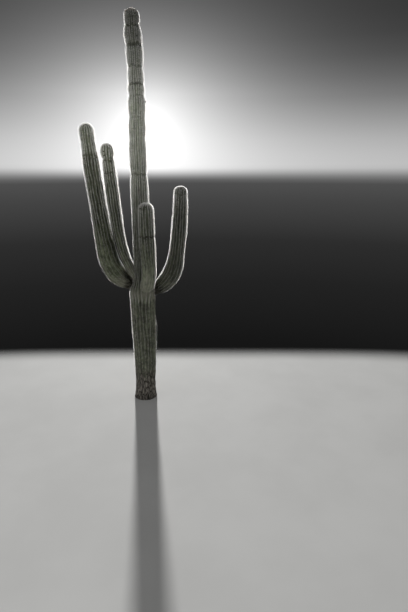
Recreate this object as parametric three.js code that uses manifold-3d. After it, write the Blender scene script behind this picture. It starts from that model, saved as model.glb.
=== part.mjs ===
// A seven-metre saguaro cactus: one fluted, upright stem and four arms.
// Millimetres, +Z up, +Y away from the front view. The origin is the middle of the flat cut
// under the stem, at ground level.
import * as THREE from "three";
import { mergeVertices } from "three/addons/utils/BufferGeometryUtils.js";
import Module from "manifold-3d";

const GAP = 0.3; // clearance between two pieces that touch
const FLESH = { color: 0x5c6a4b, roughness: 0.62, metalness: 0.0 };
const OLD_FLESH = { color: 0x616650, roughness: 0.72, metalness: 0.0 };

// ---- the stem ---------------------------------------------------------------------------
const HEIGHT = 7000;
const STEM_RIBS = 22;
const STEM_RIB_DEPTH = 24; // crest to furrow
// height, radius at the rib crests
const STEM_RADII = [
  [0, 224], [60, 213], [150, 204], [340, 198], [600, 206], [1000, 214], [1450, 223], [1850, 231],
  [2100, 238], [2230, 239], [2310, 226], [2390, 190], [2470, 166], [2650, 154], [3000, 150],
  [3500, 151], [4000, 149], [4300, 143], [4820, 142], [5150, 137], [5540, 135], [5800, 128],
  [6020, 118], [6260, 120], [6440, 123], [6660, 128], [6760, 109], [6880, 110], [6930, 109], [7000, 103],
];
// where it swells on one side only: azimuth (degrees from +X), half angle, how far out, and the
// heights where the swelling starts, is fullest and ends
const STEM_SWELLS = [
  [-62, 38, 72, 2000, 2310, 2470],
  [205, 20, 13, 2230, 2310, 2390],
];
// height, depth as a share of the radius, half width: where a dry season pinched the growth
const STEM_WAISTS = [
  [3270, 0.03, 90], [3720, 0.03, 90], [4400, 0.08, 90], [4680, 0.03, 60], [4990, 0.09, 62],
  [5360, 0.1, 62], [5712, 0.11, 46], [5905, 0.04, 40], [6130, 0.07, 55], [6550, 0.055, 45],
  [6790, 0.045, 34],
];
const STEM_DOME = 92; // height of the rounded crown
const STEM_CROWN = 2.3; // how full the crown is: more is blunter
// how far the stem's middle wanders from the plumb line: height, x, y
const STEM_SWAY = [
  [0, 0, 0], [900, 20, -6], [1800, 18, -4], [2600, 20, 2], [4000, 33, 6], [4900, 30, 0],
  [5700, 47, -8], [6100, 45, -6], [6430, 39, -4], [6650, 22, -3], [7000, 16, 0],
];
const STEM_RINGS = [
  0, 60, 250, 620, 1050, 1500, 1900, 2150, 2250, 2330, 2400, 2480, 2680, 3100, 3600, 4100, 4400, 4680,
  4850, 4990, 5140, 5360, 5540, 5712, 5800, 5910, 6010, 6130, 6300, 6450, 6550, 6650, 6790, 6880,
];

// ---- the arms ---------------------------------------------------------------------------
// Each leaves the stem's middle at the height `attach`, towards `azimuth` (degrees from +X),
// climbing at `startPitch`. Over the length `bend` it turns up to `uprightPitch`, and drifts to
// `tipPitch` at its tip. Its azimuth changes by `swing` over its whole `length`.
// `radii` and `waists` are as on the stem, with the length along the arm in place of the height.
const ARMS = {
  left_outer: {
    attach: 2278, azimuth: 172, swing: 0, startPitch: 19.9, uprightPitch: 82.1, tipPitch: 84.9,
    straight: 43, bend: 1098, length: 3332, ribs: 18, ribDepth: 19, split: 1010, dome: 116, crown: 1.9,
    radii: [
      [0, 96], [205, 98], [275, 113], [350, 141], [425, 165], [500, 179], [600, 190], [900, 187],
      [1100, 181], [1250, 174], [1400, 165], [1651, 150], [1950, 144], [2580, 142], [2786, 137],
      [2905, 121], [3148, 120], [3332, 120],
    ],
    waists: [[1961, 0.03, 62], [2405, 0.035, 62], [2900, 0.03, 31], [3044, 0.045, 35]],
  },
  left_inner: {
    attach: 2334, azimuth: 188, swing: 0, startPitch: 56.4, uprightPitch: 84.4, tipPitch: 86.8,
    straight: 20, bend: 1253, length: 2686, ribs: 15, ribDepth: 17, split: 900, dome: 116, crown: 1.75,
    radii: [
      [0, 72], [236, 76], [360, 82], [480, 88], [600, 92], [720, 98], [900, 103], [1230, 104],
      [1500, 107], [1870, 108], [2066, 107], [2235, 102], [2402, 102], [2530, 108], [2686, 108],
    ],
    waists: [[1475, 0.03, 60], [1985, 0.02, 50], [2445, 0.12, 38]],
  },
  front: {
    attach: 2230, azimuth: -62.3, swing: 0, startPitch: 30, uprightPitch: 98, tipPitch: 86.3,
    straight: 60, bend: 785, length: 1845, ribs: 17, ribDepth: 19, split: 840, dome: 104, crown: 2.3,
    radii: [
      [0, 112], [180, 119], [260, 125], [380, 129], [560, 122], [800, 123], [1050, 134], [1350, 134],
      [1550, 130], [1700, 126], [1845, 122],
    ],
    waists: [[920, 0.02, 50], [1268, 0.05, 34]],
  },
  right: {
    attach: 2173, azimuth: 8, swing: 0, startPitch: 18.2, uprightPitch: 81, tipPitch: 90.1,
    straight: 39, bend: 1042, length: 2348, ribs: 17, ribDepth: 18, split: 1000, dome: 100, crown: 2.3,
    radii: [
      [0, 100], [250, 106], [360, 136], [520, 160], [720, 168], [930, 152], [1150, 134], [1560, 132],
      [1790, 126], [1990, 117], [2160, 109], [2348, 107],
    ],
    waists: [[1370, 0.02, 50], [1850, 0.03, 40]],
  },
};

const smooth = (q) => q * q * (3 - 2 * q);
const clamp = (v, lo, hi) => Math.min(hi, Math.max(lo, v));

// A curve through [at, ...values] rows that never overshoots between two of them.
function through(rows, at, column = 1) {
  const n = rows.length;
  if (at <= rows[0][0]) return rows[0][column];
  if (at >= rows[n - 1][0]) return rows[n - 1][column];
  let i = 0;
  while (rows[i + 1][0] < at) i++;
  const slope = (k) => (rows[k + 1][column] - rows[k][column]) / (rows[k + 1][0] - rows[k][0]);
  const tangent = (k) => {
    if (k === 0) return slope(0);
    if (k === n - 1) return slope(n - 2);
    const a = slope(k - 1), b = slope(k);
    return a * b <= 0 ? 0 : (2 * a * b) / (a + b);
  };
  const h = rows[i + 1][0] - rows[i][0];
  const t = (at - rows[i][0]) / h;
  return (
    (2 * t ** 3 - 3 * t ** 2 + 1) * rows[i][column] +
    (t ** 3 - 2 * t ** 2 + t) * h * tangent(i) +
    (-2 * t ** 3 + 3 * t ** 2) * rows[i + 1][column] +
    (t ** 3 - t ** 2) * h * tangent(i + 1)
  );
}

function pinch(waists, at) {
  return waists.reduce((k, [where, depth, half]) => k * (1 - depth * Math.exp(-(((at - where) / half) ** 2))), 1);
}

// The radius at the rib crests, with the crown rounded over the last `dome` of the length.
function crestRadius(limb, at) {
  const r = through(limb.radii, at) * pinch(limb.waists, at);
  const q = clamp((at - (limb.length - limb.dome)) / limb.dome, 0, 1);
  return r * Math.sqrt(Math.max(0, 1 - q ** limb.crown));
}

// How far a limb's wall stands out of round at a length along it and an angle around it.
function swelling(swells, at, angle) {
  return swells.reduce((sum, [azimuth, half, out, from, fullest, to]) => {
    const off = ((((angle * 180) / Math.PI - azimuth) % 360) + 540) % 360 - 180;
    const rise = smooth(clamp((at - from) / (fullest - from), 0, 1));
    const fall = smooth(clamp((to - at) / (to - fullest), 0, 1));
    return sum + out * Math.exp(-((off / half) ** 2)) * rise * fall;
  }, 0);
}

function stemMiddle(z) {
  return new THREE.Vector3(through(STEM_SWAY, z, 1), through(STEM_SWAY, z, 2), z);
}

// The middle line of an arm and its direction, every `step` along it.
function armLine(arm, step = 5) {
  const deg = Math.PI / 180;
  const points = [stemMiddle(arm.attach).setX(20).setY(0)];
  const headings = [];
  for (let s = step / 2; s < arm.length + step; s += step) {
    const turn = smooth(clamp((s - arm.straight) / arm.bend, 0, 1));
    const after = clamp((s - arm.straight - arm.bend) / (arm.length - arm.straight - arm.bend), 0, 1);
    const pitch = deg * (arm.startPitch + (arm.uprightPitch - arm.startPitch) * turn + (arm.tipPitch - arm.uprightPitch) * after);
    const azimuth = deg * (arm.azimuth + (arm.swing * s) / arm.length);
    const heading = new THREE.Vector3(
      Math.cos(pitch) * Math.cos(azimuth), Math.cos(pitch) * Math.sin(azimuth), Math.sin(pitch));
    headings.push(heading);
    points.push(points[points.length - 1].clone().addScaledVector(heading, step));
  }
  return { points, headings, step };
}

// Where a limb's section stands at a length along it: its middle and two axes across it.
function armFrame(arm, line, at) {
  const f = clamp(at / line.step, 0, line.points.length - 1.001);
  const i = Math.floor(f);
  const middle = line.points[i].clone().lerp(line.points[i + 1], f - i);
  const ahead = line.headings[Math.min(i, line.headings.length - 1)];
  const behind = line.headings[Math.max(0, i - 1)];
  const heading = behind.clone().lerp(ahead, clamp(f - i + 0.5, 0, 1)).normalize();
  const azimuth = ((arm.azimuth + (arm.swing * at) / arm.length) * Math.PI) / 180;
  const side = new THREE.Vector3(-Math.sin(azimuth), Math.cos(azimuth), 0);
  const up = side.clone().cross(heading).normalize(); // in the arm's plane, across it
  return { middle, heading, a: up, b: up.clone().cross(heading).negate().normalize() };
}

// The two faces of a split lie in parallel planes, GAP apart.
function splitFrame(arm, line, at) {
  if (Math.abs(at - arm.split) > 1) return armFrame(arm, line, at);
  const frame = armFrame(arm, line, arm.split);
  frame.middle.addScaledVector(frame.heading, at - arm.split);
  return frame;
}

// A fluted limb from one ring to the next: a cylinder whose wall is moved on to the limb's
// sections, a rib crest and a furrow in turn around each.
function fluted(limb, rings, grow = 0) {
  const wall = new THREE.CylinderGeometry(1, 1, 1, 2 * limb.ribs, rings.length - 1, false);
  wall.deleteAttribute("normal");
  wall.deleteAttribute("uv");
  const at = wall.getAttribute("position");
  const p = new THREE.Vector3();
  for (let i = 0; i < at.count; i++) {
    p.fromBufferAttribute(at, i);
    const ring = Math.round((p.y + 0.5) * (rings.length - 1));
    const s = rings[ring];
    const across = Math.hypot(p.x, p.z);
    const angle = Math.atan2(p.z, p.x);
    const furrow = Math.round((angle / Math.PI) * limb.ribs) % 2 !== 0;
    const crest = crestRadius(limb, s) + grow;
    const depth = furrow ? Math.min(limb.depthAt(s), crest * 0.3) : 0;
    const frame = limb.frame(s);
    const r = across * (crest - depth + swelling(limb.swells ?? [], s, angle));
    p.copy(frame.middle).addScaledVector(frame.a, r * Math.cos(angle)).addScaledVector(frame.b, r * Math.sin(angle));
    at.setXYZ(i, p.x, p.y, p.z);
  }
  const merged = mergeVertices(wall, 1e-3);
  return facingOut(merged);
}

function signedVolume(g) {
  const at = g.getAttribute("position"), index = g.index.array;
  const a = new THREE.Vector3(), b = new THREE.Vector3(), c = new THREE.Vector3();
  let six = 0;
  for (let i = 0; i < index.length; i += 3) {
    a.fromBufferAttribute(at, index[i]);
    b.fromBufferAttribute(at, index[i + 1]);
    c.fromBufferAttribute(at, index[i + 2]);
    six += a.dot(b.cross(c));
  }
  return six / 6;
}

function facingOut(g) {
  if (signedVolume(g) < 0) {
    const index = g.index.array;
    for (let i = 0; i < index.length; i += 3) [index[i + 1], index[i + 2]] = [index[i + 2], index[i + 1]];
  }
  return g;
}

const wasm = await Module();
wasm.setup();

function solid(g) {
  return new wasm.Manifold(new wasm.Mesh({
    numProp: 3,
    vertProperties: new Float32Array(g.getAttribute("position").array),
    triVerts: new Uint32Array(g.index.array),
  }));
}

function geometry(s) {
  const m = s.getMesh();
  const at = new Float32Array(m.numVert * 3);
  for (let i = 0; i < m.numVert; i++) at.set(m.vertProperties.subarray(i * m.numProp, i * m.numProp + 3), i * 3);
  return new THREE.BufferGeometry()
    .setAttribute("position", new THREE.BufferAttribute(at, 3))
    .setIndex(new THREE.BufferAttribute(new Uint32Array(m.triVerts), 1));
}

// Ring stations: `count` even steps from `from` to `to`, and the crown's rings where it ends.
function stations(from, to, count, dome = 0) {
  const list = [];
  const end = dome ? to - dome : to;
  for (let i = 0; i <= count; i++) list.push(from + ((end - from) * i) / count);
  if (dome) for (const q of [0.42, 0.7, 0.88, 0.97, 0.998]) list.push(to - dome + dome * q);
  return list;
}

const cactus = new THREE.Group();
function add(name, g, look) {
  const flat = g.toNonIndexed();
  flat.computeVertexNormals();
  const mesh = new THREE.Mesh(flat, new THREE.MeshStandardMaterial(look));
  mesh.name = name;
  cactus.add(mesh);
}

const stem = {
  length: HEIGHT, ribs: STEM_RIBS, dome: STEM_DOME, crown: STEM_CROWN, radii: STEM_RADII, waists: STEM_WAISTS,
  swells: STEM_SWELLS,
  // the furrows fade out on the woody foot, and are shallower on the slim upper stem
  depthAt: (z) => STEM_RIB_DEPTH * through([[0, 0.15], [150, 0.25], [700, 0.7], [2200, 1], [2600, 0.85], [7000, 0.72]], z),
  frame: (z) => ({ middle: stemMiddle(z), a: new THREE.Vector3(1, 0, 0), b: new THREE.Vector3(0, 1, 0) }),
};
const stemRings = [...STEM_RINGS, ...[0.35, 0.62, 0.82, 0.94, 0.995].map((q) => HEIGHT - STEM_DOME + STEM_DOME * q)];
add("trunk", fluted(stem, stemRings), OLD_FLESH);
const stemKeepOut = solid(fluted(stem, stemRings, GAP));

for (const [name, arm] of Object.entries(ARMS)) {
  const line = armLine(arm);
  const limb = {
    ...arm,
    // the furrows are stretched shallow round the bend
    depthAt: (s) => arm.ribDepth * through([[0, 0.3], [arm.split * 0.6, 0.45], [arm.split * 1.3, 0.7], [arm.length, 0.85]], s),
    frame: (s) => splitFrame(arm, line, s),
  };
  const steps = Math.round(arm.split / 135);
  const elbow = solid(fluted(limb, stations(60, arm.split - GAP / 2, steps)));
  const cut = elbow.subtract(stemKeepOut).decompose().sort((a, b) => b.volume() - a.volume())[0];
  add(`arm_${name}_elbow`, geometry(cut), FLESH);
  const rise = arm.length - arm.dome - arm.split;
  add(`arm_${name}_upright`, fluted(limb, stations(arm.split + GAP / 2, arm.length, Math.round(rise / 180), arm.dome)), FLESH);
}

export default cactus;
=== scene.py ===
import math

import bpy
import numpy as np
from mathutils import Euler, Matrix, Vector

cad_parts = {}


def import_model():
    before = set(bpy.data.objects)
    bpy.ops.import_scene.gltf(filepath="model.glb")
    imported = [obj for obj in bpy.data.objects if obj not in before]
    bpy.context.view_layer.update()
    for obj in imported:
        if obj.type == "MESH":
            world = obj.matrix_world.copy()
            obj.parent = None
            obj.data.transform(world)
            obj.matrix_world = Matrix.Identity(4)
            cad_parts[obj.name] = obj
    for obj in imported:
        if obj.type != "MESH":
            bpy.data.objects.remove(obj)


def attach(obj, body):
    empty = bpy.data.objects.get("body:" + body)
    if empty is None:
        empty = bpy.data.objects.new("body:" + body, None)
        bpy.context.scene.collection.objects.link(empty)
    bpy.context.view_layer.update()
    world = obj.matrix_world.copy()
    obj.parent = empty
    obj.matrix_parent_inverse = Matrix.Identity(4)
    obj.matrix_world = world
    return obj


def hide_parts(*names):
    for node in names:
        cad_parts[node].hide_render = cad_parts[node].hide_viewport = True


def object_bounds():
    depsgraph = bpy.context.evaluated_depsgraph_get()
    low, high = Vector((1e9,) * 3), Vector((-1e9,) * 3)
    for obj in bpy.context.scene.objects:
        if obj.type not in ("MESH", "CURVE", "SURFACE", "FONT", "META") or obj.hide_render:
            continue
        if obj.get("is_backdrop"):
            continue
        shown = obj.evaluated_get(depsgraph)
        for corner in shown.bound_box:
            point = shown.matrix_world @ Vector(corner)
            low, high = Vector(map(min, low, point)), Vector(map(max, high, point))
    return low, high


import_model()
cad_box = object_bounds()
scene = bpy.context.scene
TAU = 2 * math.pi

# =====================================================================================
# The limbs, in millimetres: the same sizes as the solids that they stand for
# =====================================================================================
HEIGHT = 7000
STEM_RADII = [
    [0, 224], [60, 213], [150, 204], [340, 198], [600, 206], [1000, 214], [1450, 223], [1850, 231],
    [2100, 238], [2230, 239], [2310, 226], [2390, 190], [2470, 166], [2650, 154], [3000, 150],
    [3500, 151], [4000, 149], [4300, 143], [4820, 142], [5150, 137], [5540, 135], [5800, 128],
    [6020, 118], [6260, 120], [6440, 123], [6660, 128], [6760, 109], [6880, 110], [6930, 109], [7000, 103],
]
# swellings on one side: azimuth, half angle, how far out, and the heights where each starts, is fullest and ends
STEM_SWELLS = [[-62, 38, 72, 2000, 2310, 2470], [205, 20, 13, 2230, 2310, 2390]]
STEM_WAISTS = [
    [3270, .03, 90], [3720, .03, 90], [4400, .08, 90], [4680, .03, 60], [4990, .09, 62],
    [5360, .1, 62], [5712, .11, 46], [5905, .04, 40], [6130, .07, 55], [6550, .055, 45], [6790, .045, 34],
]
STEM_SWAY = [
    [0, 0, 0], [900, 20, -6], [1800, 18, -4], [2600, 20, 2], [4000, 33, 6], [4900, 30, 0],
    [5700, 47, -8], [6100, 45, -6], [6430, 39, -4], [6650, 22, -3], [7000, 16, 0],
]
ARMS = {
    "left_outer": dict(
        attach=2278, azimuth=172, swing=0, start=19.9, upright=82.1, tip=84.9, straight=43, bend=1098,
        length=3332, ribs=18, rib_depth=19, split=1010, dome=116, crown=1.9,
        radii=[[0, 96], [205, 98], [275, 113], [350, 141], [425, 165], [500, 179], [600, 190], [900, 187],
               [1100, 181], [1250, 174], [1400, 165], [1651, 150], [1950, 144], [2580, 142], [2786, 137],
               [2905, 121], [3148, 120], [3332, 120]],
        waists=[[1961, .03, 62], [2405, .035, 62], [2900, .03, 31], [3044, .045, 35]]),
    "left_inner": dict(
        attach=2334, azimuth=188, swing=0, start=56.4, upright=84.4, tip=86.8, straight=20, bend=1253,
        length=2686, ribs=15, rib_depth=17, split=900, dome=116, crown=1.75,
        radii=[[0, 72], [236, 76], [360, 82], [480, 88], [600, 92], [720, 98], [900, 103], [1230, 104],
               [1500, 107], [1870, 108], [2066, 107], [2235, 102], [2402, 102], [2530, 108], [2686, 108]],
        waists=[[1475, .03, 60], [1985, .02, 50], [2445, .12, 38]]),
    "front": dict(
        attach=2230, azimuth=-62.3, swing=0, start=30, upright=98, tip=86.3, straight=60, bend=785,
        length=1845, ribs=17, rib_depth=19, split=840, dome=104, crown=2.3,
        radii=[[0, 112], [180, 119], [260, 125], [380, 129], [560, 122], [800, 123], [1050, 134], [1350, 134],
               [1550, 130], [1700, 126], [1845, 122]],
        waists=[[920, .02, 50], [1268, .05, 34]]),
    "right": dict(
        attach=2173, azimuth=8, swing=0, start=18.2, upright=81, tip=90.1, straight=39, bend=1042,
        length=2348, ribs=17, rib_depth=18, split=1000, dome=100, crown=2.3,
        radii=[[0, 100], [250, 106], [360, 136], [520, 160], [720, 168], [930, 152], [1150, 134], [1560, 132],
               [1790, 126], [1990, 117], [2160, 109], [2348, 107]],
        waists=[[1370, .02, 50], [1850, .03, 40]]),
}

# Where growth stopped for a season and the limb pinches in, short of spines and with painted shade in the pinch: length
# along the limb, half height, strength
RINGS = {
    "stem": [[6869, 15, .45], [6742, 20, 1], [6458, 29, 1], [6222, 15, .35], [6145, 19, .75], [5873, 22, 1],
             [5779, 14, .3], [5692, 20, .65], [5347, 17, .35], [5107, 17, .35], [4879, 18, .45], [4394, 22, 1]],
    "left_outer": [[3034, 14, .3], [2799, 18, .9], [2740, 14, .6], [2642, 26, .35]],
    "left_inner": [[2448, 17, .65], [2395, 15, .75], [2197, 20, .55], [1969, 28, .25]],
    "front": [[1772, 18, .4], [1268, 26, .9]],
    "right": [[2224, 24, .4], [1844, 26, .35]],
}
# painted light and shade: how light the skin is painted along each limb, beside the others, for how brightly each part
# is lit
PAINTED_LIGHT_AND_SHADE = {
    "stem": [[0, 1.2], [500, 1.4], [900, 1.25], [1900, 1.1], [2100, 1.3], [2500, .95], [3500, .97], [4000, .8], [4350, .86], [4800, 1.15], [5300, 1.3], [5700, 1.15], [6200, .86], [6900, 1.05]],
    "left_outer": [[0, 1.65], [900, 1.7], [1300, 1.35], [2000, .62], [2700, .62], [2820, 1], [3332, 1.2]],
    "left_inner": [[0, 1.9], [700, 1.5], [1000, 1.3], [1700, .65], [2150, .6], [2350, .95], [2686, 1.15]],
    "front": [[0, 2.15], [600, 2.05], [950, 1.35], [1845, 1.05]],
    "right": [[0, .6], [1000, .58], [1900, .64], [2348, .9]],
}


def through(rows, at, column=1):
    """A curve through [at, value] rows that never overshoots between two of them."""
    rows = np.array(rows, float)
    x, y = rows[:, 0], rows[:, column]
    h = np.diff(x)
    d = np.diff(y) / h
    m = np.empty(len(x))
    m[0], m[-1] = d[0], d[-1]
    a, b = d[:-1], d[1:]
    m[1:-1] = np.where(a * b > 0, 2 * a * b / np.where(a * b > 0, a + b, 1), 0)
    at = np.clip(np.asarray(at, float), x[0], x[-1])
    i = np.clip(np.searchsorted(x, at, side="right") - 1, 0, len(x) - 2)
    t = (at - x[i]) / h[i]
    return ((2 * t**3 - 3 * t**2 + 1) * y[i] + (t**3 - 2 * t**2 + t) * h[i] * m[i]
            + (-2 * t**3 + 3 * t**2) * y[i + 1] + (t**3 - t**2) * h[i] * m[i + 1])


def smooth(q):
    q = np.clip(q, 0, 1)
    return q * q * (3 - 2 * q)


def bump(at, where, half):
    return np.exp(-(((np.asarray(at, float) - where) / half) ** 2))


def between_ribs(values, u):
    """One value for each rib, blended from crest to crest."""
    low = np.floor(u)
    w = u - low
    i = low.astype(int) % len(values)
    return (1 - w) * values[i] + w * values[(i + 1) % len(values)]


class Waver:
    """Smooth chance values along each rib, from a few long waves with seeded phases."""

    def __init__(self, rng, ribs, lengths):
        self.ribs, self.lengths = ribs, lengths
        self.phase = rng.uniform(0, TAU, (len(lengths), ribs))

    def on(self, i, s):
        i = np.asarray(i).astype(int) % self.ribs
        total = 0
        for k, wave in enumerate(self.lengths):
            total = total + np.sin(TAU * s / wave + self.phase[k, i])
        return total / len(self.lengths)

    def at(self, u, s):
        low = np.floor(u)
        w = u - low
        return (1 - w) * self.on(low, s) + w * self.on(low + 1, s)


class Limb:
    """A fluted limb. s is the length along it, and u counts its ribs round it: whole at a crest."""

    def __init__(self, name, seed, length, ribs, dome, crown, radii, waists):
        self.name, self.length, self.ribs, self.dome, self.crown = name, length, ribs, dome, crown
        self.radii, self.waists = radii, waists
        rng = np.random.default_rng(seed)
        self.rng = rng
        self.deep = Waver(rng, ribs, (310, 730, 1700))
        self.tall = Waver(rng, ribs, (240, 520, 1300))
        self.side = Waver(rng, ribs, (420, 1100, 2300))
        self.rings = rng.uniform(0, TAU, 3)
        self.tone = Waver(rng, ribs, (85, 230, 740))
        self.dense = Waver(rng, ribs, (95, 260, 820))
        self.ring_share = [rng.uniform(0.4, 1, ribs) for _ in RINGS[name]]
        self.ring_shift = [rng.normal(0, 9, ribs) for _ in RINGS[name]]

    def crest(self, s):
        s = np.asarray(s, float)
        r = through(self.radii, s)
        for where, depth, half in self.waists:
            r = r * (1 - depth * bump(s, where, half))
        for where, half, strength in RINGS[self.name]:
            r = r * (1 - 0.02 * strength * bump(s, where, half * 1.2))
        # each season's growth shows as a faint swelling
        r = r * (1 + 0.006 * np.sin(TAU * s / 137 + self.rings[0]) + 0.005 * np.sin(TAU * s / 211 + self.rings[1]))
        q = np.clip((s - (self.length - self.dome)) / self.dome, 0, 1)
        return r * np.sqrt(np.maximum(0, 1 - q**self.crown))

    def radius(self, s, u):
        off = np.abs(u - np.round(u)) * 2  # 0 on the crest, 1 in the furrow
        round_top = 0.3
        g = (np.sqrt(off**2 + round_top**2) - round_top) / (math.sqrt(1 + round_top**2) - round_top)
        crest = self.crest(s)
        depth = np.minimum(self.depth(s) * (1.05 + 0.2 * self.deep.at(u, s)), crest * 0.34)
        return crest * (1 + 0.012 * self.tall.at(u, s)) - depth * g

    def angle(self, s, u):
        return TAU / self.ribs * (u + 0.2 * self.side.at(u, s) + 0.35 * math.sin(self.rings[2]) * np.sin(TAU * s / 5200 + self.rings[2]))

    def point(self, s, u, out=0.0):
        s, u = np.broadcast_arrays(np.asarray(s, float), np.asarray(u, float))
        middle, a, b = self.frame(s)
        t = self.angle(s, u)
        r = self.radius(s, u) + out
        return middle + (r * np.cos(t))[..., None] * a + (r * np.sin(t))[..., None] * b

    def ring_pinch_shade(self, s, u):
        """How much painted shade a place gets where growth stopped and the limb pinches in: in dashes, uneven from rib
        to rib.
        """
        dark = np.zeros(np.shape(s))
        for (where, half, strength), share, shift in zip(RINGS[self.name], self.ring_share, self.ring_shift):
            dark = np.maximum(dark, strength * between_ribs(share, u) * bump(s - between_ribs(shift, u), where, half))
        return dark

    def outward(self, s, u):
        _, a, b = self.frame(np.asarray(s, float))
        t = self.angle(s, u)
        return np.cos(t)[..., None] * a + np.sin(t)[..., None] * b


class Stem(Limb):
    def __init__(self):
        super().__init__("stem", 11, HEIGHT, 22, 92, 2.3, STEM_RADII, STEM_WAISTS)

    def depth(self, s):
        return 24 * through([[0, .15], [150, .25], [700, .7], [2200, 1], [2600, .85], [7000, .72]], s)

    def frame(self, s):
        middle = np.stack([through(STEM_SWAY, s, 1), through(STEM_SWAY, s, 2), s], -1)
        a = np.broadcast_to(np.array([1.0, 0, 0]), middle.shape)
        b = np.broadcast_to(np.array([0, 1.0, 0]), middle.shape)
        return middle, a, b

    def radius(self, s, u):
        r = super().radius(s, u)
        for azimuth, half, out, start, fullest, end in STEM_SWELLS:
            off = np.mod(np.degrees(self.angle(s, u)) - azimuth + 180, 360) - 180
            r = r + out * bump(off, 0, half) * smooth((s - start) / (fullest - start)) * smooth((end - s) / (end - fullest))
        # the woody foot has cork ridges of its own in place of ribs
        foot = 1 - smooth((s - 120) / 520)
        t = TAU * u / self.ribs
        cork = (np.sin(17 * t + 2.1 * np.sin(s / 95) + 1.3) + 0.8 * np.sin(31 * t - 1.7 * np.sin(s / 71 + 1) + 0.4)
                + 0.6 * np.sin(47 * t + 2.5 * np.sin(s / 43 + 2)))
        blocks = np.sin(s / 23 + 3 * np.sin(5 * t) + 2 * np.sin(11 * t))
        return r + foot * (2.6 * cork + 1.4 * blocks)


class Arm(Limb):
    STEP = 5

    def __init__(self, name, seed, spec):
        super().__init__(name, seed, spec["length"], spec["ribs"], spec["dome"], spec["crown"], spec["radii"], spec["waists"])
        self.spec = spec
        n = int(self.length / self.STEP) + 3
        s = (np.arange(n) + 0.5) * self.STEP
        turn = smooth((s - spec["straight"]) / spec["bend"])
        after = np.clip((s - spec["straight"] - spec["bend"]) / (self.length - spec["straight"] - spec["bend"]), 0, 1)
        pitch = np.radians(spec["start"] + (spec["upright"] - spec["start"]) * turn + (spec["tip"] - spec["upright"]) * after)
        az = np.radians(spec["azimuth"] + spec["swing"] * s / self.length)
        self.heading = np.stack([np.cos(pitch) * np.cos(az), np.cos(pitch) * np.sin(az), np.sin(pitch)], -1)
        self.middle = np.concatenate([[[20.0, 0.0, spec["attach"]]], [20.0, 0.0, spec["attach"]] + np.cumsum(self.heading * self.STEP, 0)])

    def depth(self, s):
        split = self.spec["split"]
        return self.spec["rib_depth"] * through([[0, .12], [split * .6, .15], [split * 1.1, .4], [split * 1.6, .75], [self.length, .85]], s)

    def frame(self, s):
        s = np.asarray(s, float)
        f = np.clip(s / self.STEP, 0, len(self.middle) - 1.001)
        i = np.floor(f).astype(int)
        w = (f - i)[..., None]
        middle = self.middle[i] * (1 - w) + self.middle[i + 1] * w
        g = np.clip(s / self.STEP - 0.5, 0, len(self.heading) - 1.001)
        j = np.floor(g).astype(int)
        w = (g - j)[..., None]
        heading = self.heading[j] * (1 - w) + self.heading[j + 1] * w
        heading = heading / np.linalg.norm(heading, axis=-1, keepdims=True)
        az = np.radians(self.spec["azimuth"] + self.spec["swing"] * s / self.length)
        side = np.stack([-np.sin(az), np.cos(az), np.zeros_like(az)], -1)
        up = np.cross(side, heading)
        up = up / np.linalg.norm(up, axis=-1, keepdims=True)
        return middle, up, np.cross(heading, up)


stem = Stem()
arms = {name: Arm(name, 20 + k, spec) for k, (name, spec) in enumerate(ARMS.items())}


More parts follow.
